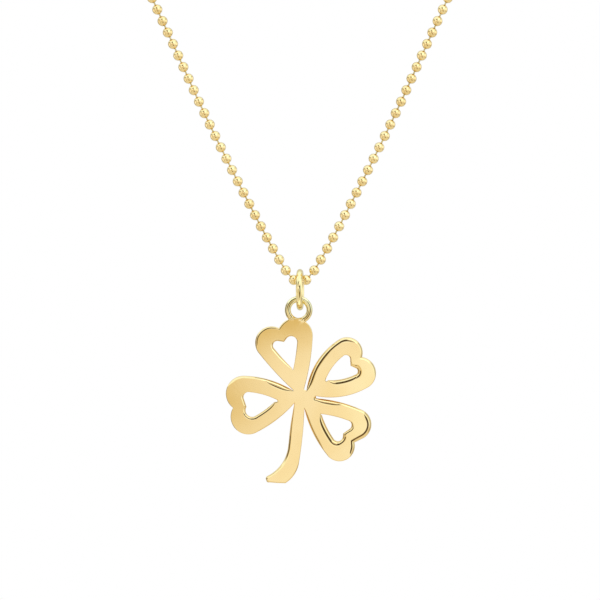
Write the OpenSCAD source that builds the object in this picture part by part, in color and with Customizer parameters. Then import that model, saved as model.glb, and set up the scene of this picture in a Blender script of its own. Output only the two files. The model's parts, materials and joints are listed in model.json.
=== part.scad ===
/* [Clover] */
// Distance from the clover's centre to the far edge of a leaf
leaf_reach = 10; // [8:0.1:14]
// Thickness of the clover's plate
plate_t = 1.1; // [0.8:0.05:2]
// Width of the metal rim round the opening of each leaf
rim_w = 1.95; // [1.4:0.05:2.2]
// Radius of the disc in which the four leaves meet
hub_r = 1.1; // [0.9:0.05:1.4]

/* [Stem] */
// Distance from the clover's centre down to the foot of the stem
stem_length = 10.95; // [8:0.05:16]
// Width of the stem at its middle
stem_w = 1.66; // [1.2:0.02:2.2]

/* [Loop] */
// Inner diameter of the round loop on the top leaf
loop_inner_d = 2.0; // [1.8:0.05:3]
// Diameter of the loop's wire
loop_wire_d = 0.78; // [0.5:0.02:1]
// How deep the middle of the loop's wire is soldered into the leaf
loop_sink = 0.3; // [0.1:0.05:0.5]

/* [Jump ring] */
// Inner diameter of the ring that hangs on the chain
ring_inner_d = 3.68; // [3:0.02:6]
// Diameter of the ring's wire
ring_wire_d = 0.82; // [0.6:0.02:1.1]
// Gap between the ring and the two beads beside it
bead_ring_gap = 0.2; // [0.1:0.01:0.4]
// Gap between the ring and the loop that hangs in it
hang_gap = 0.22; // [0.1:0.01:0.26]
// How far the loop's centre hangs to the left of the ring
loop_shift = 0.17; // [0:0.01:0.2]
// Turn of the ring about the upright, by which its front lies to the left of its back
ring_turn = 3; // [0:0.5:6]

/* [Chain] */
// Diameter of a bead
bead_d = 1.3; // [1:0.05:1.5]
// Gap between one bead and the next
bead_gap = 0.32; // [0.3:0.01:0.8]
// Gap between the two lowest beads, on either side of the ring
low_gap = 0.26; // [0.2:0.01:0.6]
// Diameter of the wire through the beads
wire_d = 0.22; // [0.2:0.01:0.34]
// Gap between the wire and the bore round it
bore_gap = 0.12; // [0.1:0.01:0.14]

/* [Clasp] */
// Outer diameter of the clasp's round body
clasp_d = 5.5; // [5:0.1:8]
// Diameter of the metal of the clasp's body
clasp_wire_d = 1.0; // [0.7:0.05:1.2]
// Inner diameter of the clasp's eye
eye_inner_d = 1.5; // [1.4:0.05:2.4]
// Diameter of the eye's wire
eye_wire_d = 0.5; // [0.4:0.02:0.6]
// Inner diameter of the ring at each end of the chain
end_inner_d = 1.7; // [1.6:0.05:2.6]
// Diameter of the end ring's wire
end_wire_d = 0.5; // [0.4:0.02:0.6]
// Wall of the crimp tube on the end ring
crimp_wall = 0.2; // [0.15:0.01:0.3]
// Length of the crimp tube
crimp_length = 1.3; // [1:0.05:2]
// Gap between interlocked rings
link_gap = 0.12; // [0.1:0.01:0.2]

/* [Hidden] */
gold = [0.93, 0.78, 0.46];
pale_gold = [0.95, 0.84, 0.52];
// Sides of the round shapes: beads, small circles and the large circles of the leaves' sides
bead_sides = 48;
fine = 96;
finest = 720;
// How far a lobe stands out beside the curve that runs into it, so that the two cross cleanly
weld = 0.004;
// Turn from one straight piece of a bowed edge to the next
bow_turn = 5;
// How far a cut runs past the metal
cut = 1;
// Bend of the wire above which a bead gets two bores
sharp_bend = 12;
// A direction in which the chain never runs, from which the sides of its wire are turned
never_along = [0, -0.8, 0.6];

// The chain's right half, from its lowest point in front up and round to the nape, where the origin
// is. The first bead lies beside the lowest point, and the way ends at the mouth of the crimp tube.
ROUTE = [
    [0, -96, -91], [1.83, -96, -89.77], [2.66, -96, -88.41], [3.45, -96, -87.02],
    [7.2, -96, -79.89], [12.21, -96, -69.74], [16.92, -95.8, -59.35], [23, -94.5, -46.5],
    [31, -89, -33.5], [40, -77, -21], [47, -58, -11], [49.2, -39, -5], [45, -19.5, -1.5],
    [33.5, -6, 0], [18, -0.6, 0]
];

// Each leaf: its turn from the right, then how far out its own notch, its opening's notch and its
// opening's narrow end lie, as shares of the leaf's reach
LEAF_COLUMNS = ["turn", "notch", "opening notch", "opening tip"];
LEAVES = [
    [107.2, 0.925, 0.745, 0.37],
    [32.8, 0.92, 0.75, 0.38],
    [189.5, 0.865, 0.71, 0.308],
    [-40.5, 0.89, 0.705, 0.33]
];
// Small webs that round out the metal between two leaves near the hub: place and radius as shares of
// the leaf's reach
WEBS = [[0.125, 0, 0.066], [-0.062, 0.058, 0.055]];
// The two halves of each leaf, left of its axis first. Shares of the leaf's reach: the lobe's centre
// along and across the axis, the lobe's radius and the side's radius; then the angle at which the side
// runs into the lobe. For the opening: a share of the rim's width, a share of the reach for the lobe's
// radius, and the angle at which its side runs into its lobe.
HALF_COLUMNS = ["along", "across", "lobe", "side", "shoulder", "rim", "opening lobe", "opening shoulder"];
HALVES = [
    [[0.782, 0.156, 0.210, 4.10, 111.1, 0.98, 0.057, 112.2],
     [0.778, 0.157, 0.227, 2.88, 109.9, 1.00, 0.075, 111.7]],
    [[0.803, 0.164, 0.200, 0.92, 90.2, 1.05, 0.054, 95.2],
     [0.797, 0.143, 0.209, 0.96, 92.8, 1.13, 0.044, 96.7]],
    [[0.708, 0.129, 0.227, 1.58, 106.9, 0.99, 0.083, 110.4],
     [0.718, 0.172, 0.228, 1.22, 100.7, 1.05, 0.064, 104.5]],
    [[0.751, 0.190, 0.203, 1.71, 106.0, 0.99, 0.061, 109.9],
     [0.773, 0.152, 0.197, 1.42, 99.5, 0.99, 0.063, 104.8]]
];
// The stem's outline, anticlockwise from the hub's left side: across and down as shares of the stem's
// width and length, and how far the edge that follows bows out, as a share of the width
STEM = [
    [-0.5, 0.04, 0.06], [-1.04, 0.60, -0.31], [-2.60, 0.915, 0.08], [-2.70, 0.965, 0.08],
    [-2.45, 0.99, 0.02], [-1.22, 1.0, 0.19], [-0.19, 0.775, 0.09], [0.28, 0.03, 0]
];

// Where the loop sits on its lobe, as a direction from the lobe's centre
loop_lean = 82;

bead_pitch = bead_d + bead_gap;
low_pitch = bead_d + low_gap;
bore_d = wire_d + 2 * bore_gap;
crimp_d = bore_d + 2 * crimp_wall;

// The ring's wire rests a small gap clear of the two lowest beads, between them
low_point = ROUTE[0];
ring_r = (ring_inner_d + ring_wire_d) / 2;
bead_to_ring = (bead_d + ring_wire_d) / 2 + bead_ring_gap;
ring_rise = sqrt(bead_to_ring * bead_to_ring - low_pitch * low_pitch / 4);
ring_centre = low_point + [0, 0, ring_rise - ring_r];
hang_point = ring_centre - [0, 0, ring_r];
// The loop hangs in the ring, and the clover under the loop
loop_r = (loop_inner_d + loop_wire_d) / 2;
hang_slack = (loop_inner_d - ring_wire_d) / 2 - hang_gap;
loop_centre = hang_point - [loop_shift, 0, sqrt(hang_slack * hang_slack - loop_shift * loop_shift)];
loop_lobe = HALVES[0][1];
loop_lobe_place = [half_value(loop_lobe, "along"), -half_value(loop_lobe, "across")];
loop_lobe_centre = turned(loop_lobe_place * leaf_reach, leaf_value(LEAVES[0], "turn"));
loop_step = half_value(loop_lobe, "lobe") * leaf_reach + loop_r - loop_sink;
loop_from_hub = loop_lobe_centre + loop_step * [cos(loop_lean), sin(loop_lean)];
hub_centre = loop_centre - [loop_from_hub.x, 0, loop_from_hub.y];

// Along the clasp: main ring, eye, end rings and crimp tubes, measured from the main ring's centre
clasp_r = (clasp_d - clasp_wire_d) / 2;
eye_r = (eye_inner_d + eye_wire_d) / 2;
end_r = (end_inner_d + end_wire_d) / 2;
eye_x = clasp_r + eye_r;
right_end_x = eye_x + eye_inner_d / 2 - link_gap + end_inner_d / 2;
left_end_x = -(clasp_d / 2 - clasp_wire_d - link_gap + end_inner_d / 2);
crimp_reach = end_r + end_wire_d / 2 + crimp_length;
mouth_x = (right_end_x - left_end_x) / 2 + crimp_reach;
clasp_x = mouth_x - crimp_reach - right_end_x;

// A smooth curve through the route, sampled finely, gives the length along the chain
low_bead = low_point + [low_pitch / 2, 0, 0];
risen = [for (i = [1 : len(ROUTE) - 1]) ROUTE[i]];
half_route = concat([flipped(low_bead), low_bead], risen, [[mouth_x, 0, 0], [0, 0, 0]]);
spans = len(half_route) - 3;
steps = 12;
curve = [
    for (i = [0 : spans - 1]) for (k = [0 : steps - 1]) spline_point(i, k / steps),
    [mouth_x, 0, 0]
];
strides = [for (i = [1 : len(curve) - 1]) norm(curve[i] - curve[i - 1])];
lengths = [for (i = [0 : len(strides)]) total(strides, i)];
half_length = lengths[len(strides)];
beads_each_side = floor((half_length - bead_d / 2 - link_gap) / bead_pitch) + 1;
table_x = [for (i = [0 : len(curve) - 1]) [lengths[i], curve[i].x]];
table_y = [for (i = [0 : len(curve) - 1]) [lengths[i], curve[i].y]];
table_z = [for (i = [0 : len(curve) - 1]) [lengths[i], curve[i].z]];
half_beads = [for (i = [0 : beads_each_side - 1]) along_chain(i * bead_pitch)];
// The wire starts and ends inside the crimp tubes
wire_end = [mouth_x - crimp_length / 2, 0, 0];
left_half = [for (i = [beads_each_side - 1 : -1 : 0]) flipped(half_beads[i])];
stations = concat([flipped(wire_end)], left_half, half_beads, [wire_end]);

function leaf_value(leaf, column) = leaf[search([column], LEAF_COLUMNS)[0]];
function half_value(half, column) = half[search([column], HALF_COLUMNS)[0]];
function turned(p, a) = [p.x * cos(a) - p.y * sin(a), p.x * sin(a) + p.y * cos(a)];
function flipped(p) = [-p.x, p.y, p.z];
function unit(v) = v / norm(v);
function total(list, count) = count == 0 ? 0 : list[count - 1] + total(list, count - 1);

// Point on the curve from route point i + 1 to i + 2, for t from 0 to 1
function spline_point(i, t) =
    let (a = half_route[i], b = half_route[i + 1], c = half_route[i + 2], d = half_route[i + 3])
    let (in_slope = slope(a, b, c), out_slope = slope(b, c, d), span = norm(c - b))
    (2 * pow(t, 3) - 3 * t * t + 1) * b + (pow(t, 3) - 2 * t * t + t) * span * in_slope
    + (3 * t * t - 2 * pow(t, 3)) * c + (pow(t, 3) - t * t) * span * out_slope;

// Slope at b, leaning to the shorter of its two spans
function slope(a, b, c) =
    let (before = norm(b - a), after = norm(c - b))
    ((b - a) / before * after + (c - b) / after * before) / (before + after);

function along_chain(s) = [lookup(s, table_x), lookup(s, table_y), lookup(s, table_z)];

// One half of a heart: x runs out along the leaf, y to the side. The side is part of a large circle
// that the lobe's circle touches from inside.
module half_heart(side_centre, side_r, shoulder, lobe_r, notch, tip) {
    outward = [cos(shoulder), sin(shoulder)];
    lobe = side_centre + (side_r - lobe_r) * outward;
    beyond = side_centre + (side_r + lobe_r) * outward;
    from_lobe = [notch, 0] - lobe;
    reach = norm(from_lobe);
    brow_turn = atan2(from_lobe.y, from_lobe.x) + (reach > lobe_r ? acos(lobe_r / reach) : 0);
    brow = reach > lobe_r ? lobe + lobe_r * [cos(brow_turn), sin(brow_turn)] : lobe;
    intersection() {
        translate(side_centre) circle(side_r, $fn = finest);
        polygon([[tip, 0], [notch, 0], brow, lobe, beyond, [tip, beyond.y]]);
    }
    translate(lobe) circle(lobe_r + weld, $fn = fine);
}

function side_centre(half) =
    let (shoulder = half_value(half, "shoulder"))
    [half_value(half, "along"), half_value(half, "across")] * leaf_reach
    - (half_value(half, "side") - half_value(half, "lobe")) * leaf_reach * [cos(shoulder), sin(shoulder)];

module leaf_half(half, leaf) {
    side_r = half_value(half, "side") * leaf_reach;
    lobe_r = half_value(half, "lobe") * leaf_reach;
    notch = leaf_value(leaf, "notch") * leaf_reach;
    half_heart(side_centre(half), side_r, half_value(half, "shoulder"), lobe_r, notch, 0);
}

module opening_half(half, leaf) {
    side_r = half_value(half, "side") * leaf_reach - half_value(half, "rim") * rim_w;
    lobe_r = half_value(half, "opening lobe") * leaf_reach;
    notch = leaf_value(leaf, "opening notch") * leaf_reach;
    tip = leaf_value(leaf, "opening tip") * leaf_reach;
    half_heart(side_centre(half), side_r, half_value(half, "opening shoulder"), lobe_r, notch, tip);
}

module leaf(i) {
    rotate(leaf_value(LEAVES[i], "turn")) {
        leaf_half(HALVES[i][0], LEAVES[i]);
        mirror([0, 1]) leaf_half(HALVES[i][1], LEAVES[i]);
    }
}

module opening(i) {
    rotate(leaf_value(LEAVES[i], "turn")) {
        opening_half(HALVES[i][0], LEAVES[i]);
        mirror([0, 1]) opening_half(HALVES[i][1], LEAVES[i]);
    }
}

// Points along an arc from a up to b that bows out to the right of the way by the given height
function arc_points(a, b, bow) =
    let (chord = norm(b - a), ahead = unit(b - a), aside = [ahead.y, -ahead.x] * sign(bow))
    let (r = chord * chord / (8 * abs(bow)) + abs(bow) / 2, spread = asin(chord / 2 / r))
    let (pieces = ceil(2 * spread / bow_turn))
    [for (k = [0 : pieces - 1]) let (t = spread * (2 * k / pieces - 1))
        (a + b) / 2 + r * sin(t) * ahead + r * (cos(t) - cos(spread)) * aside];

module stem() {
    corners = [for (row = STEM) [row.x * stem_w, -row.y * stem_length]];
    last = len(corners) - 1;
    edges = [for (i = [0 : last - 1]) each arc_points(corners[i], corners[i + 1], STEM[i].z * stem_w)];
    polygon(concat(edges, [corners[last]]));
}

module clover_outline() {
    difference() {
        union() {
            circle(hub_r, $fn = fine);
            for (web = WEBS) translate([web.x, web.y] * leaf_reach) circle(web.z * leaf_reach, $fn = fine);
            for (i = [0 : len(LEAVES) - 1]) leaf(i);
            stem();
        }
        for (i = [0 : len(LEAVES) - 1]) opening(i);
    }
}

module wire_ring(mean_r, thickness) {
    rotate_extrude($fn = fine) translate([mean_r, 0]) circle(d = thickness, $fn = fine / 2);
}

module clover() {
    color(gold) {
        translate(hub_centre) rotate([90, 0, 0]) translate([0, 0, -plate_t / 2])
            linear_extrude(plate_t) clover_outline();
        translate(loop_centre) rotate([90, 0, 0]) wire_ring(loop_r, loop_wire_d);
    }
}

module jump_ring() {
    color(pale_gold) translate(ring_centre) rotate([0, 90, -ring_turn]) wire_ring(ring_r, ring_wire_d);
}

// A bead with one straight bore, turned from the bore's own axis
module straight_bead() {
    rotate_extrude($fn = bead_sides) difference() {
        circle(d = bead_d, $fn = bead_sides);
        translate([-bead_d, -bead_d]) square([bead_d + bore_d / 2, 2 * bead_d]);
    }
}

// A bead with two bores that meet in its centre, where the chain bends sharply
module bent_bead(inward, outward) {
    difference() {
        rotate([90, 0, 0]) rotate(-90) sphere(d = bead_d, $fn = bead_sides);
        for (way = [inward, outward]) point_along(way)
            translate([0, 0, -bore_d / 2]) cylinder(d = bore_d, h = bead_d + bore_d, $fn = bead_sides);
    }
}

module point_along(way) {
    rotate([0, acos(way.z), atan2(way.y, way.x)]) children();
}

module bead(before, centre, after) {
    inward = unit(before - centre);
    outward = unit(after - centre);
    translate(centre)
        if (inward * outward > -cos(sharp_bend)) bent_bead(inward, outward);
        else point_along(unit(outward - inward)) straight_bead();
}

module bead_chain() {
    color(gold) for (i = [1 : len(stations) - 2]) bead(stations[i - 1], stations[i], stations[i + 1]);
}

// The wire: a six-sided ring at each station, in the plane halfway between the two spans
module chain_wire() {
    sides = 6;
    last = len(stations) - 1;
    rings = [for (i = [0 : last]) wire_section(i, last, sides)];
    walls = [
        for (i = [0 : last - 1]) for (k = [0 : sides - 1]) for (half = [0, 1])
            let (a = i * sides + k, b = i * sides + (k + 1) % sides)
            half == 0 ? [a, b, b + sides] : [a, b + sides, a + sides]
    ];
    color(gold) polyhedron([for (r = rings) each r], concat(
        [[for (k = [sides - 1 : -1 : 0]) k]], walls, [[for (k = [0 : sides - 1]) last * sides + k]]));
}

function wire_section(i, last, sides) =
    let (here = stations[i])
    let (dir_in = i == 0 ? unit(stations[1] - here) : unit(here - stations[i - 1]))
    let (dir_out = i == last ? dir_in : unit(stations[i + 1] - here))
    let (along = unit(dir_in + dir_out), across = unit(cross(along, never_along)))
    let (up = cross(across, along), stretch = 1 / (dir_in * along))
    [for (k = [0 : sides - 1])
        here + wire_d / 2 * (cos(360 * k / sides) * across + stretch * sin(360 * k / sides) * up)];

// The ring at a chain end, with its crimp tube pointing along the chain; built on the right
module end_ring(x) {
    color(gold) difference() {
        union() {
            translate([x, 0, 0]) wire_ring(end_r, end_wire_d);
            translate([x + end_r, 0, 0]) rotate([0, 90, 0])
                cylinder(d = crimp_d, h = crimp_reach - end_r, $fn = fine);
        }
        translate([mouth_x - crimp_length, 0, 0]) rotate([0, 90, 0])
            cylinder(d = bore_d, h = crimp_length + cut, $fn = fine);
    }
}

module end_ring_right() {
    end_ring(clasp_x + right_end_x);
}

module end_ring_left() {
    mirror([1, 0, 0]) end_ring(-clasp_x - left_end_x);
}

module clasp() {
    color(gold) translate([clasp_x, 0, 0]) {
        rotate([90, 0, 0]) wire_ring(clasp_r, clasp_wire_d);
        translate([eye_x, 0, 0]) rotate([90, 0, 0]) wire_ring(eye_r, eye_wire_d);
    }
}

clover();
jump_ring();
bead_chain();
chain_wire();
end_ring_left();
end_ring_right();
clasp();
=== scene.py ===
# %% [markdown]
# # A four leaf clover pendant on a bead chain
# The real piece is a gold necklace: a pierced clover cut from plate about a millimetre thick, polished
# until its edges are round, with a small wire loop soldered on its top leaf. The loop hangs in a
# jump ring, and the ring hangs on a chain of drilled beads threaded on fine wire.
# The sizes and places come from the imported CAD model, which is the fixed frame of this scene. Blender
# adds what polishing does to metal, and the finish of each piece.

# %% Load the frame
import json
import math

import bpy
import numpy as np
from mathutils import Matrix, Vector

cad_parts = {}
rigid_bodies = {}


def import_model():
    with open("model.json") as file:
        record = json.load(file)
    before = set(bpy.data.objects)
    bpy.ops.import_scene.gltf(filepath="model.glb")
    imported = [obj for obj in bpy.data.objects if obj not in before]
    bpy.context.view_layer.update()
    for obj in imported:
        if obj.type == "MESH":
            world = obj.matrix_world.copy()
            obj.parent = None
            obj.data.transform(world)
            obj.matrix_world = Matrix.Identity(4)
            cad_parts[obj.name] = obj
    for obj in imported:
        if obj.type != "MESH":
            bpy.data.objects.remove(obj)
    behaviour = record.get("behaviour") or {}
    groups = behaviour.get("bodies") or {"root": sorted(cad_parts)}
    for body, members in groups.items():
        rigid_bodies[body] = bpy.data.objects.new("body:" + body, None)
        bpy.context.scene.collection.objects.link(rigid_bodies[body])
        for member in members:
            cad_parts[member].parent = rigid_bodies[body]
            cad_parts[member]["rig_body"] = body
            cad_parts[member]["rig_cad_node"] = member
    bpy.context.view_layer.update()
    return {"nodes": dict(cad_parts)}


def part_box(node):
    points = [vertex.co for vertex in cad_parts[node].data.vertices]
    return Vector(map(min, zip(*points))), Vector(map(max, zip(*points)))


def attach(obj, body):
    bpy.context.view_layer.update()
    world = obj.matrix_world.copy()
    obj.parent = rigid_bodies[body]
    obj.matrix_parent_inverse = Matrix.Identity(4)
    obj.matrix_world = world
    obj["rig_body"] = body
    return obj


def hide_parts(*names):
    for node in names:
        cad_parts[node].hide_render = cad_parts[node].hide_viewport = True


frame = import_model()
nodes = frame["nodes"]
MM = 0.001
print("pieces of the frame:", sorted(nodes))

# %% [markdown]
# ## Camera
# The photograph looks straight at the clover from far away, through a long lens, so nothing in it
# converges. A camera a metre off, level and square to the clover's face, sees the same. Its lens
# follows from the width of the picture at the clover, which the beads give: 1.3 mm is 10.1 pixels.

# %% Camera
picture_size = 600
pixel = 0.128 * MM
camera_distance = 1.0
sensor_width = 36.0
# The row of the photograph on which the two lowest beads lie, and their place in the frame
low_bead_row = 279.9
bead_radius = 0.65 * MM
chain_low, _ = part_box("bead_chain")
clover_low, clover_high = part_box("clover")
plate_y = (clover_low.y + clover_high.y) / 2
low_bead_rise = (picture_size / 2 - low_bead_row) * pixel
picture_centre = Vector((0, plate_y, chain_low.z + bead_radius - low_bead_rise))

bpy.ops.object.camera_add(
    location=picture_centre - Vector((0, camera_distance, 0)), rotation=(math.radians(90), 0, 0)
)
camera = bpy.context.object
camera.data.sensor_width = sensor_width
camera.data.lens = sensor_width * camera_distance / (picture_size * pixel)
bpy.context.scene.camera = camera
print(f"lens {camera.data.lens:.0f} mm, picture {picture_size * pixel / MM:.1f} mm wide")

# %% [markdown]
# ## Studio
# Polished gold has almost no colour of its own: it shows the room, tinted. So the room matters more
# than the lamps. The ground of the picture is pure white, but the metal sees a soft box above, a pale
# table below and a warm shade at the left. Dark flags stand round the lens, above it, at its right and
# below, and they draw the thin brown lines along the clover's rounded edges. Two dark walls stand
# further off, at both sides.
# The room is made of a few masks over the direction, so small helpers for node trees come first.

# %% Helpers for node trees
def node_of(tree, kind, **values):
    made = tree.nodes.new(kind)
    for name, value in values.items():
        setattr(made, name, value)
    return made


def feed(tree, socket, value):
    if isinstance(value, bpy.types.NodeSocket):
        tree.links.new(value, socket)
    else:
        socket.default_value = value


def math_of(tree, operation, *values):
    made = node_of(tree, "ShaderNodeMath", operation=operation)
    for socket, value in zip(made.inputs, values):
        feed(tree, socket, value)
    return made.outputs[0]


def smooth_step(tree, value, start, end, low=0.0, high=1.0):
    made = node_of(tree, "ShaderNodeMapRange", interpolation_type="SMOOTHSTEP")
    for name, number in zip(("From Min", "From Max", "To Min", "To Max"), (start, end, low, high)):
        made.inputs[name].default_value = number
    feed(tree, made.inputs["Value"], value)
    return made.outputs["Result"]


def mix_of(tree, factor, first, second):
    made = node_of(tree, "ShaderNodeMix", data_type="RGBA")
    feed(tree, made.inputs["Factor"], factor)
    feed(tree, made.inputs["A"], first)
    feed(tree, made.inputs["B"], second)
    return made.outputs["Result"]


# %% The room that the metal sees
NEAR_LENS = (1.03, 1.05, 1.09, 1)
NEAR_RIGHT = (1.07, 1.16, 1.23, 1)
WARM_SHADE = (0.76, 0.65, 0.37, 1)
SOFT_BOX = (1.10, 1.26, 1.34, 1)
PALE_TABLE = (0.87, 0.84, 0.74, 1)
BEHIND = (0.70, 0.70, 0.64, 1)
WHITE_GROUND = (1, 1, 1, 1)
# Where one tone turns into the next: the first two by the lean of a direction, the third by its height
SHADE_TO_LENS = (-0.16, 0.02)
LENS_TO_RIGHT = (0.0, 0.06)
TABLE_TO_BOX = (-0.15, 0.35)
# The same by the angle off the lens, in degrees
NEAR_TO_FAR = (15.0, 40.0)
FAR_TO_BEHIND = (108.0, 140.0)
side_fade = 15.0
# Name; middle and half width of the patch round the lens, near and far edge off the lens and the
# softness of those edges, all in degrees; strength and colour
DARK_THINGS = [
    ("flag above", 120, 66, 17, 52, 4, 0.98, (0.07, 0.045, 0.02, 1)),
    ("flag at the right", -2, 62, 17, 49, 4, 0.98, (0.07, 0.045, 0.02, 1)),
    ("stand below", -64, 12, 24, 48, 5, 0.95, (0.20, 0.13, 0.05, 1)),
    ("wall behind left", 190, 28, 68, 118, 8, 0.90, (0.12, 0.09, 0.05, 1)),
    ("wall behind right", 5, 30, 78, 118, 9, 0.6, (0.22, 0.16, 0.07, 1)),
]


def lean_of(tree, x, x_share, z, z_share):
    """How far a direction leans to the right and up, by a share of each."""
    rightward = math_of(tree, "MULTIPLY", x, x_share)
    upward = math_of(tree, "MULTIPLY", z, z_share)
    return math_of(tree, "ADD", rightward, upward)


def build_room():
    world = bpy.data.worlds.new("studio")
    bpy.context.scene.world = world
    world.use_nodes = True
    tree = world.node_tree
    tree.nodes.clear()
    direction = node_of(tree, "ShaderNodeTexCoord").outputs["Generated"]
    parts = node_of(tree, "ShaderNodeSeparateXYZ")
    tree.links.new(direction, parts.inputs[0])
    x, y, z = parts.outputs
    towards_lens = math_of(tree, "MULTIPLY", y, -1.0)
    degrees = 180 / math.pi
    off_axis = math_of(tree, "MULTIPLY", math_of(tree, "ARCCOSINE", towards_lens), degrees)
    around = math_of(tree, "MULTIPLY", math_of(tree, "ARCTAN2", z, x), degrees)
    # Round the lens the room turns from a warm shade at the left to pale at the right within a few
    # degrees, so a leaf that leans only a little already shows another tone than its neighbour
    lean = lean_of(tree, x, 0.8, z, 0.6)
    near = mix_of(tree, smooth_step(tree, lean, *SHADE_TO_LENS), WARM_SHADE, NEAR_LENS)
    near = mix_of(tree, smooth_step(tree, lean, *LENS_TO_RIGHT), near, NEAR_RIGHT)
    # Further off there is the soft box above and the pale table below
    height = lean_of(tree, x, 0.25, z, 0.95)
    far = mix_of(tree, smooth_step(tree, height, *TABLE_TO_BOX), PALE_TABLE, SOFT_BOX)
    far = mix_of(tree, smooth_step(tree, off_axis, *FAR_TO_BEHIND), far, BEHIND)
    colour = mix_of(tree, smooth_step(tree, off_axis, *NEAR_TO_FAR), near, far)
    # Each dark thing is a patch: around the lens from one angle to another, and off it from start to end
    for _, middle, half_width, start, end, fade, strength, dark in DARK_THINGS:
        turn = math_of(tree, "SUBTRACT", around, middle)
        from_middle = math_of(tree, "ABSOLUTE", math_of(tree, "WRAP", turn, 180.0, -180.0))
        sector = smooth_step(tree, from_middle, half_width, half_width + side_fade, strength, 0.0)
        inner = smooth_step(tree, off_axis, start - fade, start + fade)
        outer = smooth_step(tree, off_axis, end - fade, end + fade, 1.0, 0.0)
        patch = math_of(tree, "MULTIPLY", sector, math_of(tree, "MULTIPLY", inner, outer))
        colour = mix_of(tree, patch, colour, dark)
    seen = node_of(tree, "ShaderNodeLightPath").outputs["Is Camera Ray"]
    colour = mix_of(tree, seen, colour, WHITE_GROUND)
    background = node_of(tree, "ShaderNodeBackground")
    tree.links.new(colour, background.inputs["Color"])
    output = node_of(tree, "ShaderNodeOutputWorld")
    tree.links.new(background.outputs[0], output.inputs[0])


build_room()
bpy.context.scene.view_settings.view_transform = "Standard"
print("the room has", len(DARK_THINGS), "dark things")

# %% [markdown]
# Two soft lamps add to the room: the key above and to the right of the lens, and a weaker fill at the
# left. The floor is a disk of pale paper under the necklace, kept out of the metal's reflections.


# %% Lamps and floor
def soft_lamp(name, direction, distance, size, watts):
    aim = Vector(direction).normalized()
    bpy.ops.object.light_add(type="AREA", location=picture_centre + aim * distance)
    lamp = bpy.context.object
    lamp.name = name
    lamp.rotation_euler = aim.to_track_quat("Z", "Y").to_euler()
    lamp.data.shape = "DISK"
    lamp.data.size = size
    lamp.data.energy = watts
    lamp.visible_camera = False
    return lamp


soft_lamp("key", (0.45, -0.8, 0.8), distance=1.1, size=0.8, watts=0.9)
soft_lamp("fill", (-0.9, -0.6, 0.1), distance=1.3, size=0.8, watts=0.3)

floor_drop = 0.16
floor_radius = 0.6
bpy.ops.mesh.primitive_circle_add(
    vertices=96, radius=floor_radius, fill_type="NGON", location=(0, plate_y, -floor_drop))
floor = bpy.context.object
floor.name = "floor"
bpy.ops.object.transform_apply(location=True)
floor.visible_glossy = False
paper_colour = (0.9, 0.83, 0.79, 1)
paper_roughness = 0.9
paper = bpy.data.materials.new("pale_paper")
paper.use_nodes = True
paper_shader = paper.node_tree.nodes["Principled BSDF"]
paper_shader.inputs["Base Color"].default_value = paper_colour
paper_shader.inputs["Roughness"].default_value = paper_roughness
floor.data.materials.append(paper)
print(f"floor {floor_drop / MM:.0f} mm below the nape")

# %% [markdown]
# ## The clover's plate
# The real clover is sawn or stamped from plate and then polished, which wears its edges round, outside
# and inside the four openings: strongly where the wheel rolled over, and hardly where it didn't reach.
# A bevel could round the edges, but at the thin foot of the stem a bevel of one width runs through
# itself. So the outline of the CAD plate is taken as a wire, smoothed as a curve, and then extruded
# ring by ring over the rounding, and each point moves in only as far as the metal beside it allows.

# %% Helpers for modelling
same_point = 0.001 * MM


def only(*objects):
    bpy.ops.object.select_all(action="DESELECT")
    for chosen in objects:
        chosen.select_set(True)
    bpy.context.view_layer.objects.active = objects[-1]


def edit(select_mode="VERT"):
    bpy.ops.object.mode_set(mode="EDIT")
    bpy.ops.mesh.select_mode(type=select_mode)


def leave_edit():
    bpy.ops.object.mode_set(mode="OBJECT")


def choose_faces(piece, wanted):
    """Selects, outside edit mode, the faces for which wanted(face) is true."""
    edit("FACE")
    bpy.ops.mesh.select_all(action="DESELECT")
    leave_edit()
    for face in piece.data.polygons:
        face.select = wanted(face)


def merged_copy(node, name):
    """A copy of a CAD node's mesh, whose loose triangles are joined at their corners."""
    copy = nodes[node].copy()
    copy.data = nodes[node].data.copy()
    copy.name = name
    copy.parent = None
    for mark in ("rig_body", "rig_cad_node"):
        del copy[mark]
    bpy.context.scene.collection.objects.link(copy)
    only(copy)
    edit()
    bpy.ops.mesh.select_all(action="SELECT")
    bpy.ops.mesh.remove_doubles(threshold=same_point)
    leave_edit()
    return copy


# %% The outline as a wire
facing_front = -0.999
front_reach = 0.01 * MM
shortest_edge = 0.03 * MM


def in_front_face(face):
    return face.normal.y < facing_front and abs(face.center.y - clover_low.y) < front_reach


outline = merged_copy("clover", "clover_plate")
choose_faces(outline, in_front_face)
edit("FACE")
bpy.ops.mesh.select_all(action="INVERT")
bpy.ops.mesh.delete(type="FACE")
bpy.ops.mesh.select_all(action="SELECT")
bpy.ops.mesh.region_to_loop()
bpy.ops.mesh.select_all(action="INVERT")
bpy.ops.mesh.delete(type="EDGE_FACE")
bpy.ops.mesh.select_all(action="SELECT")
bpy.ops.mesh.remove_doubles(threshold=shortest_edge)
leave_edit()
print("outline edges:", len(outline.data.edges))

only(outline)
bpy.ops.object.convert(target="CURVE")
outline = bpy.context.object
for spline in outline.data.splines:
    print("loop of", len(spline.points), "points, closed:", spline.use_cyclic_u)

# %% [markdown]
# The CAD outline has straight edges between its points. A Bezier curve through the same points smooths
# them, and where the outline turns sharply, straight handles keep its true corner.

# %% The wire as a smooth curve with its true corners
corner_turn = math.radians(26)
outline_steps = 3


def turn_at(before, here, after):
    return (here - before).angle(after - here, 0.0)


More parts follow.
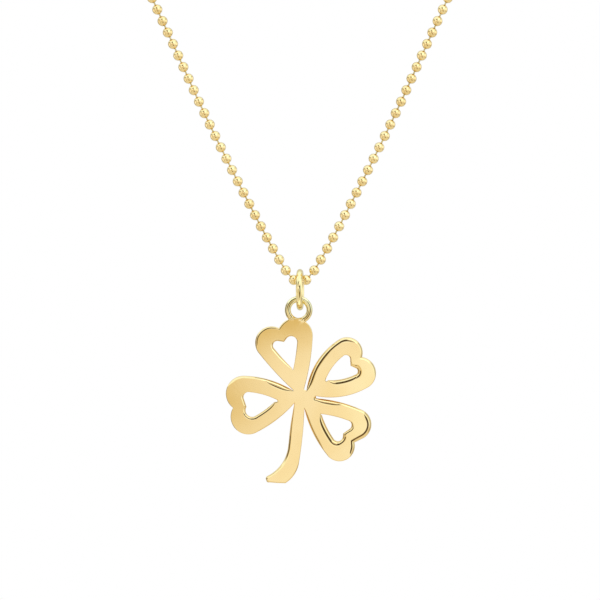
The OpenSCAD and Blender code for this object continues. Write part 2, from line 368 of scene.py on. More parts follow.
bpy.ops.object.mode_set(mode="EDIT")
bpy.ops.curve.select_all(action="SELECT")
bpy.ops.curve.spline_type_set(type="BEZIER")
bpy.ops.curve.handle_type_set(type="AUTOMATIC")
leave_edit()
corners = 0
for spline in outline.data.splines:
    spline.resolution_u = outline_steps
    places = [point.co.copy() for point in spline.bezier_points]
    for i, point in enumerate(spline.bezier_points):
        if turn_at(places[i - 1], places[i], places[(i + 1) % len(places)]) > corner_turn:
            point.handle_left_type = point.handle_right_type = "VECTOR"
            corners += 1
only(outline)
bpy.ops.object.convert(target="MESH")
plate = bpy.context.object
plate.data.transform(Matrix.Translation((0, -plate_y, 0)))
for vertex in plate.data.vertices:
    vertex.co.y = 0
print("corners kept:", corners, "outline points now:", len(plate.data.vertices))

# %% [markdown]
# At each point of the wire the script needs the way into the metal, and how much metal there is. The
# way in is the bisector of the two edges, made longer at a corner so that both sides move in equally.
# The room is the radius of the largest circle inside the metal that touches the outline there.

# %% The way in and the room at each point
corner_share = 0.8
longest_mitre = 2.2


def loops_of(mesh):
    beside = {vertex.index: [] for vertex in mesh.vertices}
    for edge in mesh.edges:
        first, second = edge.vertices
        beside[first].append(second)
        beside[second].append(first)
    loops, left = [], set(beside)
    while left:
        loop = [min(left)]
        left.discard(loop[0])
        while True:
            onward = [i for i in beside[loop[-1]] if i in left]
            if not onward:
                break
            loop.append(onward[0])
            left.discard(onward[0])
        loops.append(loop)
    return loops


def flat_area(points):
    x, z = points[:, 0], points[:, 1]
    return 0.5 * float(np.sum(x * np.roll(z, -1) - np.roll(x, -1) * z))


flat = np.array([(vertex.co.x, vertex.co.z) for vertex in plate.data.vertices])
loops = sorted(loops_of(plate.data), key=lambda loop: -abs(flat_area(flat[loop])))
way_in = np.zeros_like(flat)
sharp = np.zeros(len(flat), bool)
for count, loop in enumerate(loops):
    # The metal is to the left along the outer edge, and to the right along an opening's
    side = math.copysign(1, flat_area(flat[loop])) * (1 if count == 0 else -1)
    here = flat[loop]
    ahead = np.roll(here, -1, axis=0) - here
    ahead /= np.linalg.norm(ahead, axis=1)[:, None]
    normal_after = side * np.stack((-ahead[:, 1], ahead[:, 0]), axis=1)
    normal_before = np.roll(normal_after, 1, axis=0)
    agree = np.sum(normal_after * normal_before, axis=1)
    mitre = (normal_after + normal_before) / (1 + agree)[:, None]
    mitre *= np.minimum(1, longest_mitre / np.linalg.norm(mitre, axis=1))[:, None]
    way_in[loop] = mitre
    sharp[loop] = agree < math.cos(corner_turn * corner_share)

no_depth = 1e-9
unit_in = way_in / np.linalg.norm(way_in, axis=1)[:, None]
apart = flat[None, :, :] - flat[:, None, :]
deep = np.einsum("ijk,ik->ij", apart, unit_in)
with np.errstate(divide="ignore", invalid="ignore"):
    circle = np.where(deep > no_depth, np.sum(apart ** 2, axis=2) / (2 * deep), np.inf)
largest_circle = circle.min(axis=1)
print(len(loops), "loops with", int(sharp.sum()), "corners")

# %% [markdown]
# The wheel didn't leave all the edges alike. A crisp edge has a narrow round that begins with a small
# step off the face, so it can't mirror what stands close to the lens. Where the wheel rolled over an
# edge softly, the round begins at the face itself, is mostly wider, and mirrors a flag as a dark line.
# This was hand work that follows no formula, so two tables name the stretches of the outline that
# aren't like the rest: the soft ones, and the crisp ones of another width.

# %% How the wheel left the edges
crisp_round = 0.3 * MM
crisp_angle = 28.0
hub = Vector((0.163 * MM, 0, -106.063 * MM))
# Edges that the wheel rolled over softly: name, start and end from the hub in mm, the way they face in
# degrees, how far the touch reaches and how wide the round is there, in mm
SOFT_EDGES = [
    ("upper right leaf, near the hub", (0.5, 0.9), (3.1, 4.7), 145, 1.0, 0.66),
    ("upper right leaf, top", (3.1, 4.7), (5.7, 7.0), 110, 1.0, 0.72),
    ("upper right opening, lower side", (3.1, 1.8), (7.6, 2.7), 110, 0.8, 0.70),
    ("upper right opening, right lobe", (7.6, 2.7), (7.8, 3.5), 170, 0.6, 0.60),
    ("upper right opening, to its notch", (7.7, 3.6), (6.6, 4.4), 205, 0.5, 0.50),
    ("lower right leaf, top", (0.5, -0.1), (3.9, -0.9), 75, 0.8, 0.76),
    ("lower right leaf, right lobe", (8.8, -2.9), (9.0, -3.8), 0, 0.8, 0.64),
    ("lower right leaf, below the lobe", (9.0, -3.8), (7.2, -5.4), -50, 0.8, 0.60),
    ("lower right leaf, left lobe", (6.9, -5.8), (6.5, -7.2), -10, 0.5, 0.55),
    ("lower right opening, lower side", (2.5, -3.4), (4.3, -6.1), 30, 0.8, 0.74),
    ("lower right opening, foot", (4.3, -6.1), (5.1, -6.4), 110, 0.6, 0.70),
    ("lower right opening, left lobe", (5.2, -6.2), (5.8, -4.9), 170, 0.5, 0.50),
    ("lower right opening, notch", (5.8, -4.9), (6.6, -4.5), 135, 0.5, 0.45),
    ("lower right opening, right lobe", (6.6, -4.5), (7.1, -3.6), 200, 0.4, 0.40),
    ("left leaf, top near the hub", (-3.6, 1.6), (-0.9, 0.4), 70, 0.7, 0.84),
    ("left opening, lower side", (-6.6, -2.0), (-3.1, -0.4), 110, 0.8, 0.42),
    ("top leaf, left lobe", (-5.9, 7.5), (-4.1, 8.8), 135, 0.6, 0.30),
    ("top leaf, from its notch to the loop", (-2.9, 9.0), (-2.0, 9.8), 140, 0.5, 0.22),
]
# Crisp edges whose round isn't as wide as the usual one, or is wider, with the same columns: the wheel
# hardly touched most of them
CRISP_EDGES = [
    ("top leaf, left side", (-5.5, 5.9), (-1.2, 0.9), 218, 0.7, 0.08),
    ("top leaf, right side", (1.15, 8.0), (0.25, 1.4), -5, 0.7, 0.08),
    ("top leaf, right lobe", (0.5, 9.8), (1.15, 8.0), 30, 0.7, 0.08),
    ("top opening, right side", (-0.9, 7.6), (-1.2, 3.2), 183, 0.5, 0.08),
    ("left leaf, end of the upper lobe", (-9.75, 1.2), (-9.2, -1.0), 190, 0.7, 0.08),
    ("left leaf, end of the lower lobe", (-9.15, -1.6), (-8.4, -4.0), 200, 0.7, 0.08),
    ("left leaf, lower side", (-7.0, -4.6), (-1.1, -0.7), 300, 0.7, 0.08),
    ("left opening, upper side", (-7.3, 0.7), (-3.4, -0.3), 256, 0.5, 0.08),
    ("upper right leaf, lower side", (1.9, 0.0), (6.4, 0.4), 275, 0.7, 0.08),
    ("upper right leaf, end of the lower side", (6.4, 0.4), (9.1, 2.2), 300, 0.7, 0.08),
    ("upper right opening, upper side", (2.9, 2.4), (5.5, 5.4), 320, 0.5, 0.08),
    ("upper right opening, left lobe", (5.75, 5.5), (6.05, 4.7), 190, 0.3, 0.08),
    ("lower right leaf, left of the foot", (2.9, -7.0), (4.6, -8.2), 240, 0.6, 0.08),
    ("lower right leaf, right of the foot", (4.6, -8.2), (6.0, -7.6), 300, 0.5, 0.08),
    ("lower right opening, upper side", (2.3, -2.2), (5.8, -3.2), 255, 0.5, 0.08),
    ("stem, upper right side", (0.1, -1.0), (-0.2, -5.7), 0, 0.7, 0.08),
    ("stem, lower right side", (-0.2, -5.7), (-0.9, -9.0), -12, 0.7, 0.08),
    ("gap between the right leaves", (1.2, 0.1), (1.3, -0.3), 0, 0.4, 0.08),
    ("gap between the upper leaves", (0.1, 0.9), (0.5, 0.9), 80, 0.3, 0.08),
    ("stem, outside of the foot", (-0.9, -9.0), (-1.9, -10.6), -30, 0.7, 0.16),
    ("stem, end of the foot", (-1.9, -10.7), (-3.7, -10.6), -92, 0.4, 0.14),
    ("stem, left side", (-0.8, -1.2), (-1.5, -7.1), 174, 0.8, 0.44),
    ("stem, left side at the foot", (-1.5, -7.1), (-2.3, -8.6), 160, 0.6, 0.36),
]
print(len(SOFT_EDGES), "soft stretches,", len(CRISP_EDGES), "crisp ones of another width")

# %% [markdown]
# A stretch fades out with the distance from its line, and where the edge turns another way. Afterwards
# the width is held back in the narrow gaps, beside the solder and wherever there is too little metal,
# and smoothed along each loop.

# %% The width of the round at each point
facing = np.degrees(np.arctan2(-way_in[:, 1], -way_in[:, 0]))
full_reach = 1.6
facing_limit = 95
facing_fade = 30


def angle_apart(first, second):
    return np.abs((first - second + 180) % 360 - 180)


def far_from_line(start, end):
    start, end = (np.array((hub.x + p[0] * MM, hub.z + p[1] * MM)) for p in (start, end))
    along = np.clip(((flat - start) @ (end - start)) / np.sum((end - start) ** 2), 0, 1)
    return np.linalg.norm(flat - start - along[:, None] * (end - start), axis=1)


def nearness(start, end, faces, reach):
    near = np.clip(full_reach - far_from_line(start, end) / (reach * MM), 0, 1)
    return near * np.clip((facing_limit - angle_apart(facing, faces)) / facing_fade, 0, 1)


def beside_mean(values):
    return (np.roll(values, 1) + np.roll(values, -1)) / 2


# Where the wheel left a crisp edge, the round begins with a small step off the face
step_off = np.full(len(flat), crisp_angle)
width = np.full(len(flat), crisp_round)
for _, start, end, faces, reach, wanted in SOFT_EDGES:
    near = nearness(start, end, faces, reach)
    step_off *= 1 - near
    width += near * (wanted * MM - width)
for _, start, end, faces, reach, wanted in CRISP_EDGES:
    near = nearness(start, end, faces, reach)
    step_off += near * (crisp_angle - step_off)
    width += near * (wanted * MM - width)
print(int((step_off < crisp_angle / 2).sum()), "of", len(flat), "points are on soft edges")

# %% The width in the gaps, at the solder and by the metal there is
gap_round = 0.18 * MM
gap_growth = 0.20
gap_reach = 2.2 * MM
gap_spread = 45
loop_wire = 0.78 * MM
loop_inner = 2.0 * MM
loop_shift = -0.17 * MM
loop_radius = (loop_inner + loop_wire) / 2
loop_centre = Vector((loop_shift, 0, clover_high.z - loop_radius - loop_wire / 2))
solder_width = 1.75 * MM
room_share = 0.94
evening_rounds = 6
steepest_step = 0.01 * MM
smoothing_rounds = 12
smoothing_slack = 1e-6

# The wheel couldn't reach far into the narrow gaps between the leaves, nor under the loop's solder
away = flat - np.array((hub.x, hub.z))
from_hub = np.linalg.norm(away, axis=1)
width = np.minimum(width, gap_round + gap_growth * from_hub)
direction = np.degrees(np.arctan2(away[:, 1], away[:, 0]))
step_off[(from_hub < gap_reach) & (angle_apart(facing, direction) < gap_spread)] = crisp_angle
from_loop = np.linalg.norm(flat - np.array((loop_centre.x, loop_centre.z)), axis=1)
width[from_loop < solder_width] = crisp_round / 3
room = np.minimum(width, room_share * largest_circle)
for loop in loops:
    for i, index in enumerate(loop):
        if sharp[index]:
            room[index] = min(room[loop[i - 1]], room[loop[(i + 1) % len(loop)]])
for _ in range(evening_rounds):
    for loop in loops:
        room[loop] = np.minimum(room[loop], beside_mean(room[loop]) + steepest_step)
for _ in range(smoothing_rounds):
    for loop in loops:
        for field in (room, step_off):
            smoothed = (field[loop] + beside_mean(field[loop])) / 2
            field[loop] = np.minimum(field[loop], smoothed + smoothing_slack)
print(f"rounding from {room.min() / MM:.2f} to {room.max() / MM:.2f} mm")

# %% [markdown]
# Now the wire is extruded over the rounding, from the middle of the wall to the front face. Each new
# ring of points is moved to its own angle on the quarter circle. One more ring, just inside the
# rounding, keeps the shading of the flat face apart from it.

# %% Extrude the rounded edge
round_steps = 7
flat_ring = 0.04 * MM
plate_half = (clover_high.y - clover_low.y) / 2
deepest_round = 0.96 * plate_half
fullest_round = 0.85
spot = plate.data.attributes.new("spot", "INT", "POINT")
spot.data.foreach_set("value", list(range(len(flat))))


def extrude_ring(piece, share, further=0.0):
    """Adds a ring of points at a share of the way over the round: 0 at the wall, 1 at the face."""
    edit("EDGE")
    bpy.ops.mesh.extrude_edges_move()
    leave_edit()
    spots = piece.data.attributes["spot"].data
    for vertex in piece.data.vertices:
        if vertex.select:
            i = spots[vertex.index].value
            first_tilt = math.radians(step_off[i])
            tilt = math.pi / 2 - (math.pi / 2 - first_tilt) * share
            radius = room[i] / (1 - math.sin(first_tilt))
            flatten = min(fullest_round, deepest_round / (radius * math.cos(first_tilt)))
            step = radius * (1 - math.sin(tilt)) + further * min(1, room[i] / crisp_round)
            drop = flatten * radius * (math.cos(first_tilt) - math.cos(tilt))
            x, z = flat[i] + way_in[i] * step
            vertex.co = (x, -(plate_half - drop), z)


edit("EDGE")
bpy.ops.mesh.select_all(action="SELECT")
leave_edit()
for k in range(round_steps + 1):
    extrude_ring(plate, k / round_steps)
extrude_ring(plate, 1, flat_ring)
edit("EDGE")
bpy.ops.mesh.fill(use_beauty=True)
leave_edit()
print("half plate:", len(plate.data.polygons), "faces")

# %% [markdown]
# The face is one flat sheet of long triangles. It is cut into small cells, because the leaves get a
# slight bend later, and a polished face shows every long triangle once it is no longer flat.

# %% Cut the face into cells, then mirror it to the back
cell = 0.6 * MM
flat_face = 0.9999
mirror_reach = 0.0001 * MM


def cut_face(piece, low, high, normal):
    place = low + cell / 2
    while place < high:
        choose_faces(piece, lambda face: abs(face.normal.y) > flat_face)
        edit("FACE")
        bpy.ops.mesh.bisect(plane_co=Vector(normal) * place, plane_no=normal)
        leave_edit()
        place += cell


edit("FACE")
bpy.ops.mesh.select_all(action="SELECT")
bpy.ops.mesh.normals_make_consistent(inside=False)
leave_edit()
cut_face(plate, clover_low.x, clover_high.x, (1, 0, 0))
cut_face(plate, clover_low.z, clover_high.z, (0, 0, 1))
edit("FACE")
bpy.ops.mesh.select_all(action="SELECT")
bpy.ops.mesh.symmetrize(direction="NEGATIVE_Y", threshold=mirror_reach)
bpy.ops.mesh.select_all(action="SELECT")
bpy.ops.mesh.normals_make_consistent(inside=False)
leave_edit()
edit("EDGE")
bpy.ops.mesh.select_all(action="DESELECT")
bpy.ops.mesh.select_non_manifold()
leave_edit()
open_edges = sum(edge.select for edge in plate.data.edges)
print("plate:", len(plate.data.polygons), "faces, open edges:", open_edges)

# %% [markdown]
# ## The loop, and the solder that holds it
# The loop is a ring of round wire soldered on the top lobe. A torus gives the wire, a boolean union
# makes one body of wire and plate, and smoothing the points along the seam turns the sharp meeting
# line into the small hollow that solder leaves.

# %% The loop
solder_reach = 0.26 * MM
solder_search = 1.6


def add_ring(name, centre, mean_radius, thickness, turn, around=96, across=28):
    bpy.ops.mesh.primitive_torus_add(
        location=centre, rotation=turn, major_segments=around, minor_segments=across,
        major_radius=mean_radius, minor_radius=thickness / 2,
    )
    ring = bpy.context.object
    ring.name = name
    only(ring)
    bpy.ops.object.transform_apply(location=True, rotation=True, scale=True)
    return ring


def combine(piece, other, operation="UNION"):
    joint = piece.modifiers.new("joint", "BOOLEAN")
    joint.operation = operation
    joint.solver = "EXACT"
    joint.object = other
    only(piece)
    bpy.ops.object.modifier_apply(modifier=joint.name)
    bpy.data.objects.remove(other)


facing_lens = (math.radians(90), 0, 0)
loop = add_ring("loop", loop_centre, loop_radius, loop_wire, facing_lens)
mark = loop.data.attributes.new("is_wire", "INT", "FACE")
mark.data.foreach_set("value", [1] * len(loop.data.polygons))
plate.data.attributes.remove(plate.data.attributes["spot"])
combine(plate, loop)

is_wire = plate.data.attributes["is_wire"].data
kinds = {}
for face in plate.data.polygons:
    for index in face.vertices:
        kinds.setdefault(index, set()).add(is_wire[face.index].value)
seam = [plate.data.vertices[i].co.copy() for i, found in kinds.items() if len(found) == 2]
edit("VERT")
bpy.ops.mesh.select_all(action="DESELECT")
leave_edit()
for vertex in plate.data.vertices:
    near_loop = (vertex.co - loop_centre).length < loop_radius * solder_search
    vertex.select = near_loop and min((vertex.co - place).length for place in seam) < solder_reach
edit("VERT")
bpy.ops.mesh.vertices_smooth(factor=0.5, repeat=8)
leave_edit()
plate.data.attributes.remove(plate.data.attributes["is_wire"])
# How much of the loop's painted highlight each point of the loop takes, for the material: all of it from
# the loop's middle up, fading out down to the solder
loop_highlight_share = plate.data.attributes.new("loop_highlight_share", "FLOAT", "POINT").data
for index, found in kinds.items():
    if 1 in found:
        rise = (plate.data.vertices[index].co.z - loop_centre.z) / loop_radius + 1
        loop_highlight_share[index].value = min(max(rise, 0.0), 1.0)
print("seam points:", len(seam), "faces with the loop:", len(plate.data.polygons))

# %% [markdown]
# ## The slight bend of the leaves
# The clover was worked by hand, and no two leaves lie in quite the same plane. It doesn't show as a
# shape, but in a polished face a lean of one degree moves the reflection by two, so the left leaf
# turns darker and the lower right leaf paler. Each leaf and the stem bends a little from the hub out.

# %% Bend the leaves
bend_start = 2.0 * MM
leaf_length = 10.0 * MM
# Name; direction from the hub, lean away from the lens and twist at the leaf's end, all in degrees
LEANS = [
    ("top", 107, -1.0, 3.9),
    ("upper right", 33, 1.2, 0.0),
    ("left", 189, 3.4, 0.0),
    ("lower right", -40, 1.6, 1.6),
    ("stem", -100, -0.3, 1.6),
]


def bend(vertex):
    away = vertex.co - hub
    for _, turn, lean, twist in LEANS:
        ahead_x, ahead_z = math.cos(math.radians(turn)), math.sin(math.radians(turn))
        along = away.x * ahead_x + away.z * ahead_z - bend_start
        across = away.z * ahead_x - away.x * ahead_z
        if along > 0:
            share = along / (leaf_length - bend_start)
            vertex.co.y += math.tan(math.radians(lean)) * along * share / 2
            vertex.co.y += math.tan(math.radians(twist)) * across * share ** 2


for vertex in plate.data.vertices:
    bend(vertex)
plate.data.transform(Matrix.Translation((0, plate_y, 0)))
plate.name = "clover_gold_plate"
only(plate)
bpy.ops.object.shade_smooth_by_angle(angle=math.radians(22))
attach(plate, "pendant")
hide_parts("clover")
print("bent:", ", ".join(name for name, *_ in LEANS))

# %% [markdown]
# ## The jump ring
# The ring is soldered shut, so it is a plain torus of thicker wire. It stands edge-on to the lens, but
# for a turn of three degrees, by which its back shows as a thin line at the right.

# %% The jump ring
ring_wire = 0.82 * MM
ring_turn = math.radians(3)
ring_low, ring_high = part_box("jump_ring")
ring_radius = (ring_high.z - ring_low.z - ring_wire) / 2
jump_ring = add_ring(
    "jump_ring_wire", (ring_low + ring_high) / 2, ring_radius, ring_wire,
    (0, math.radians(90), -ring_turn), around=96, across=32)
bpy.ops.object.shade_smooth()
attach(jump_ring, "ring")
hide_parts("jump_ring")
print(f"ring {2 * ring_radius / MM:.2f} mm wide at the middle of its wire")

# %% [markdown]
# ## The bead chain
# A bead is a small hollow ball with a hole at each end. Each is a sphere of few faces whose two ends are
# taken off and joined by a straight tube, the bore. One bead is modelled, and copied to the place of
# each bead of the frame, turned along the chain.

# %% Where the beads are
merged_copy("bead_chain", "frame_beads")
edit("VERT")
bpy.ops.mesh.select_all(action="SELECT")
bpy.ops.mesh.separate(type="LOOSE")
leave_edit()
frame_beads = list(bpy.context.selected_objects)
centres = []
for piece in frame_beads:
    low = Vector(map(min, zip(*(v.co for v in piece.data.vertices))))
    high = Vector(map(max, zip(*(v.co for v in piece.data.vertices))))
    centres.append((low + high) / 2)
for piece in frame_beads:
    bpy.data.objects.remove(piece)

# From the bead beside the clasp on the right, round the whole loop, each next bead is the nearest
remaining = list(centres)
first = min(remaining, key=lambda c: (abs(c.y) + abs(c.x)) if c.x > 0 else 1)
chain = [first]
remaining.remove(first)
while remaining:
    nearest = min(remaining, key=lambda c: (c - chain[-1]).length)
    chain.append(nearest)
    remaining.remove(nearest)
steps = [(b - a).length for a, b in zip(chain, chain[1:])]
print(len(chain), f"beads, {min(steps) / MM:.2f} to {max(steps) / MM:.2f} mm apart")

# %% One bead
bead_sides = 12
bead_rows = 8
# A ball of so few faces looks smaller than a round one, so it is made a little larger
bead_swell = 1.015
pole_height = bead_radius * 0.999
bpy.ops.mesh.primitive_uv_sphere_add(
    segments=bead_sides, ring_count=bead_rows, radius=bead_radius * bead_swell)
bead = bpy.context.object
bead.name = "bead"
edit("VERT")
bpy.ops.mesh.select_all(action="DESELECT")
leave_edit()
for vertex in bead.data.vertices:
    vertex.select = abs(vertex.co.z) > pole_height
edit("VERT")
bpy.ops.mesh.delete(type="VERT")
bpy.ops.mesh.select_all(action="DESELECT")
bpy.ops.mesh.select_non_manifold()
bpy.ops.mesh.bridge_edge_loops()
bpy.ops.mesh.select_all(action="SELECT")
bpy.ops.mesh.normals_make_consistent(inside=False)
leave_edit()
print("one bead:", len(bead.data.polygons), "faces")

# %% The chain of beads
copies = []
for i, centre in enumerate(chain):
    before = chain[i - 1] if i else chain[i + 1]
    after = chain[(i + 1) % len(chain)] if i else centre
    along = (after - before).normalized()
    turn = Vector((0, 0, 1)).rotation_difference(along).to_matrix().to_4x4()
    copy = bead.copy()
    copy.data = bead.data.copy()
    copy.data.transform(Matrix.Translation(centre) @ turn)
    bpy.context.scene.collection.objects.link(copy)
    copies.append(copy)
bpy.data.objects.remove(bead)
only(*copies)
bpy.ops.object.join()
beads = bpy.context.object
beads.name = "beads"
bpy.ops.object.shade_smooth_by_angle(angle=math.radians(45))
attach(beads, "necklace")
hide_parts("bead_chain")
print("chain:", len(beads.data.polygons), "faces")

# %% [markdown]
# ## The wire through the beads
# The thread of a bead chain is a fine drawn wire. A poly curve through the beads' centres, with a round
# bevel, is the whole of it.

# %% The wire
wire_radius = 0.11 * MM
behind_neck = -0.2 * MM
cad_wire = nodes["chain_wire"].data
near_clasp = [v.co for v in cad_wire.vertices if v.co.y > behind_neck]
wire_end = min(abs(place.x) for place in near_clasp)
wire_path = [Vector((wire_end, 0, 0)), *chain, Vector((-wire_end, 0, 0))]
line = bpy.data.curves.new("wire_line", "CURVE")
line.dimensions = "3D"
spline = line.splines.new("POLY")
spline.points.add(len(wire_path) - 1)
for point, place in zip(spline.points, wire_path):
    point.co = (*place, 1)
line.bevel_depth = wire_radius
line.bevel_resolution = 3
line.use_fill_caps = True
wire = bpy.data.objects.new("chain_thread", line)
bpy.context.scene.collection.objects.link(wire)
only(wire)
bpy.ops.object.convert(target="MESH")
wire = bpy.context.object
bpy.ops.object.shade_smooth_by_angle(angle=math.radians(60))
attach(wire, "necklace")
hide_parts("chain_wire")
print("wire:", len(wire.data.polygons), "faces, ends at", round(wire_end / MM, 2), "mm")

# %% [markdown]
# ## Behind the neck: end rings and clasp
# The chain ends in two small rings, each with a short tube crimped over the wire, and the rings hang in
# the clasp: a round body of thicker wire with an eye. All are turned and soldered work, so each is
# made of tori and tubes united into one body.

# %% End rings
end_wire = 0.5 * MM
crimp_wall = 0.2 * MM
bore_radius = 0.23 * MM
crimp_length = 1.3 * MM


def add_tube(radius, start, end):
    bpy.ops.mesh.primitive_cylinder_add(
        vertices=48, radius=radius, depth=abs(end - start), location=((start + end) / 2, 0, 0),
        rotation=(0, math.radians(90), 0))
    tube = bpy.context.object
    only(tube)
    bpy.ops.object.transform_apply(location=True, rotation=True, scale=True)
    return tube


def end_ring(node, side):
    """An end ring with its crimp tube; side is 1 where the tube points to +X and -1 where to -X."""
    low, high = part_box(node)
    ring_width = high.y - low.y
    mean_radius = (ring_width - end_wire) / 2
    ring_x = (low.x if side > 0 else high.x) + side * ring_width / 2
    mouth = high.x if side > 0 else low.x
    ring = add_ring(
        node + "_wire", (ring_x, 0, 0), mean_radius, end_wire, (0, 0, 0), around=64, across=24)
    combine(ring, add_tube(bore_radius + crimp_wall, ring_x + side * mean_radius, mouth))
    bore = add_tube(bore_radius, mouth - side * crimp_length, mouth + side * crimp_length)
    combine(ring, bore, "DIFFERENCE")
    bpy.ops.object.shade_smooth_by_angle(angle=math.radians(40))
    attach(ring, "necklace")
    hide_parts(node)
    return ring


end_rings = [end_ring("end_ring_right", 1), end_ring("end_ring_left", -1)]
print("end rings:", [len(ring.data.polygons) for ring in end_rings], "faces")

# %% Clasp
clasp_wire = 1.0 * MM
eye_wire = 0.5 * MM
eye_inner = 1.5 * MM
clasp_low, clasp_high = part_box("clasp")
clasp_width = clasp_high.z - clasp_low.z
clasp_radius = (clasp_width - clasp_wire) / 2
clasp_x = clasp_low.x + clasp_width / 2
clasp = add_ring("clasp_ring", (clasp_x, 0, 0), clasp_radius, clasp_wire, facing_lens)
eye_radius = (eye_inner + eye_wire) / 2
eye_x = clasp_high.x - eye_radius - eye_wire / 2
eye = add_ring("eye", (eye_x, 0, 0), eye_radius, eye_wire, facing_lens, around=64, across=20)
combine(clasp, eye)
bpy.ops.object.shade_smooth_by_angle(angle=math.radians(40))
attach(clasp, "necklace")
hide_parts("clasp")
print("clasp:", len(clasp.data.polygons), "faces")

# %% [markdown]
# ## Gold
# All the pieces are polished gold, and each took the polish a little differently. Two effects are
# shared: fine scratches left by the polishing wheel, and a slow drift of the colour over the surface.
# Each is a node group, built once, and each piece's own gold places them with its own values.

# %% Shared effects
def group_of(name, inputs, outputs):
    group = bpy.data.node_groups.new(name, "ShaderNodeTree")
    for label, kind, value in inputs:
        group.interface.new_socket(label, in_out="INPUT", socket_type=kind).default_value = value
    for label, kind in outputs:
        group.interface.new_socket(label, in_out="OUTPUT", socket_type=kind)
    return group, node_of(group, "NodeGroupInput"), node_of(group, "NodeGroupOutput")


def build_polish_marks():
    group, given, out = group_of(
        "polish_marks",
        [("Vector", "NodeSocketVector", (0, 0, 0)), ("Scale", "NodeSocketFloat", 2500.0),
         ("Smooth", "NodeSocketFloat", 0.06), ("Worn", "NodeSocketFloat", 0.12)],
        [("Roughness", "NodeSocketFloat"), ("Height", "NodeSocketFloat")])
    stretch = node_of(group, "ShaderNodeMapping")
    stretch.inputs["Scale"].default_value = (1.0, 1.0, 0.12)
    stretch.inputs["Rotation"].default_value = (0.3, 0.5, 0.0)
    group.links.new(given.outputs["Vector"], stretch.inputs["Vector"])
    hairs = node_of(group, "ShaderNodeTexNoise")
    hairs.inputs["Detail"].default_value = 4.0
    group.links.new(stretch.outputs[0], hairs.inputs["Vector"])
    group.links.new(given.outputs["Scale"], hairs.inputs["Scale"])
    wipes = node_of(group, "ShaderNodeTexNoise")
    wipes.inputs["Detail"].default_value = 2.0
    wipes.inputs["Scale"].default_value = 260.0
    group.links.new(given.outputs["Vector"], wipes.inputs["Vector"])
    both = math_of(group, "MULTIPLY", hairs.outputs["Fac"], wipes.outputs["Fac"])
    reach = node_of(group, "ShaderNodeMapRange")
    reach.inputs["From Min"].default_value = 0.12
    reach.inputs["From Max"].default_value = 0.42
    group.links.new(both, reach.inputs["Value"])
    group.links.new(given.outputs["Smooth"], reach.inputs["To Min"])
    group.links.new(given.outputs["Worn"], reach.inputs["To Max"])
    group.links.new(reach.outputs[0], out.inputs["Roughness"])
    group.links.new(hairs.outputs["Fac"], out.inputs["Height"])
    return group


def build_alloy_drift():
    group, given, out = group_of(
        "alloy_drift",
        [("Vector", "NodeSocketVector", (0, 0, 0)), ("Scale", "NodeSocketFloat", 180.0),
         ("Light", "NodeSocketColor", (1, 1, 1, 1)), ("Deep", "NodeSocketColor", (1, 1, 1, 1))],
        [("Color", "NodeSocketColor")])
    cloud = node_of(group, "ShaderNodeTexNoise")
    cloud.inputs["Detail"].default_value = 3.0
    group.links.new(given.outputs["Vector"], cloud.inputs["Vector"])
    group.links.new(given.outputs["Scale"], cloud.inputs["Scale"])
    share = smooth_step(group, cloud.outputs["Fac"], 0.3, 0.7)
    drifting = mix_of(group, share, given.outputs["Light"], given.outputs["Deep"])
    group.links.new(drifting, out.inputs["Color"])
    return group


polish_marks = build_polish_marks()
alloy_drift = build_alloy_drift()
print("shared:", polish_marks.name, "and", alloy_drift.name)

# %% A gold for each kind of piece
scratch_depth = 0.002 * MM
scratch_strength = 0.25


def gold(name, light, deep, smooth, worn):
    material = bpy.data.materials.new(name)
    material.use_nodes = True
    tree = material.node_tree
    shader = tree.nodes["Principled BSDF"]
    shader.inputs["Metallic"].default_value = 1.0
    place = node_of(tree, "ShaderNodeTexCoord").outputs["Object"]
    drift = node_of(tree, "ShaderNodeGroup", node_tree=alloy_drift)
    drift.inputs["Light"].default_value = (*light, 1)
    drift.inputs["Deep"].default_value = (*deep, 1)
    marks = node_of(tree, "ShaderNodeGroup", node_tree=polish_marks)
    marks.inputs["Smooth"].default_value = smooth
    marks.inputs["Worn"].default_value = worn
    for effect in (drift, marks):
        tree.links.new(place, effect.inputs["Vector"])
    relief = node_of(tree, "ShaderNodeBump")
    relief.inputs["Strength"].default_value = scratch_strength
    relief.inputs["Distance"].default_value = scratch_depth
    tree.links.new(marks.outputs["Height"], relief.inputs["Height"])
    tree.links.new(relief.outputs[0], shader.inputs["Normal"])
    tree.links.new(drift.outputs["Color"], shader.inputs["Base Color"])
    tree.links.new(marks.outputs["Roughness"], shader.inputs["Roughness"])
    return material


clover_finish = gold("clover_gold", (0.96, 0.74, 0.38), (0.93, 0.69, 0.32), smooth=0.06, worn=0.11)
finishes = [
    (plate, clover_finish),
    (jump_ring, gold("ring_gold", (0.93, 0.79, 0.42), (0.90, 0.74, 0.37), smooth=0.07, worn=0.12)),
    (beads, gold("bead_gold", (0.95, 0.76, 0.40), (0.90, 0.69, 0.33), smooth=0.08, worn=0.14)),
    # The thread's gold is a darker copy of the beads' gold: painted shade, where it lies between the beads
    (wire, gold("wire_gold", (0.74, 0.61, 0.31), (0.64, 0.52, 0.24), smooth=0.20, worn=0.32)),
]
clasp_finish = gold("clasp_gold", (0.95, 0.74, 0.38), (0.91, 0.68, 0.32), smooth=0.08, worn=0.15)
finishes += [(piece, clasp_finish) for piece in (*end_rings, clasp)]
for piece, finish in finishes:
    piece.data.materials.clear()
    piece.data.materials.append(finish)
    print(piece.name, "in", finish.name, "with", len(piece.data.polygons), "faces")
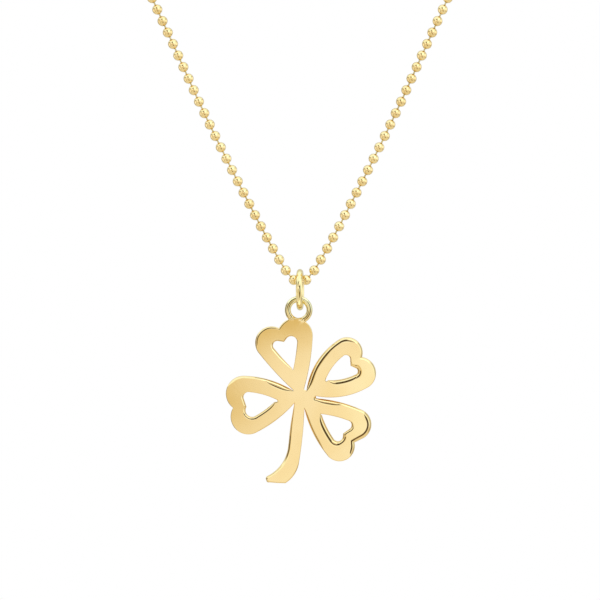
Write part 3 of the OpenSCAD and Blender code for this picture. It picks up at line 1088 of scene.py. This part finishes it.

# %% [markdown]
# ## The loop's painted highlight
# The loop's gold is painted paler than the plate that it is soldered on: a painted highlight. Its points
# carry their share of it, and the plate's gold mixes the two colours by it.

# %% Painted highlight on the loop
tree = clover_finish.node_tree
base_colour = tree.nodes["Principled BSDF"].inputs["Base Color"]
# A paler gold on the loop: a painted highlight, not another metal
loop_painted_highlight = node_of(tree, "ShaderNodeGroup", node_tree=alloy_drift)
loop_painted_highlight.inputs["Light"].default_value = (0.98, 0.88, 0.53, 1)
loop_painted_highlight.inputs["Deep"].default_value = (0.96, 0.84, 0.47, 1)
tree.links.new(node_of(tree, "ShaderNodeTexCoord").outputs["Object"], loop_painted_highlight.inputs["Vector"])
share = node_of(tree, "ShaderNodeAttribute", attribute_name="loop_highlight_share").outputs["Fac"]
plate_alloy = base_colour.links[0].from_socket
tree.links.new(mix_of(tree, share, plate_alloy, loop_painted_highlight.outputs["Color"]), base_colour)
# The second of the two golds is the loop's painted highlight
print("two alloys in", clover_finish.name)

# %% [markdown]
# ## Cards for the beads
# A photographer holds small cards beside fine chain, which lift its shadows and leave the larger piece
# alone. Here they are lamps, each linked to what it lights: the chain, the ring or both. Round the lens
# they leave two gaps, a small one above and a wider one below, where the beads mirror less light.

# %% Cards
# Direction round the lens, angle off it, half width of the card, all in degrees; brightness; what it lights
CARDS = [
    (72, 36, 14, 1.0, "chain and ring"), (146, 36, 15, 0.9, "chain and ring"),
    (172, 36, 13, 0.8, "chain and ring"), (40, 36, 15, 1.0, "chain"), (5, 36, 15, 0.9, "chain"),
    (-33, 35, 15, 0.7, "chain"), (180, 93, 18, 0.9, "chain and ring"), (206, 93, 18, 0.9, "chain and ring"),
    (5, 98, 24, 0.6, "chain and ring"), (-90, 85, 25, 0.5, "ring"),
]
card_distance = 1.2
lit = {"chain": [beads, wire], "chain and ring": [beads, wire, jump_ring], "ring": [jump_ring]}
lit_by_card = {}
for name, pieces in lit.items():
    lit_by_card[name] = bpy.data.collections.new("cards for " + name)
    for piece in pieces:
        lit_by_card[name].objects.link(piece)
for i, (turn, off, half, bright, receiver) in enumerate(CARDS):
    around, away = math.radians(turn), math.radians(off)
    direction = (math.sin(away) * math.cos(around), -math.cos(away), math.sin(away) * math.sin(around))
    card_radius = card_distance * math.tan(math.radians(half))
    # A disk lamp of brightness 1 gives pi squared times its radius squared, in watts
    watts = bright * math.pi ** 2 * card_radius ** 2
    card = soft_lamp(f"card {i}", direction, card_distance, 2 * card_radius, watts)
    card.light_linking.receiver_collection = lit_by_card[receiver]
print(len(CARDS), "cards")
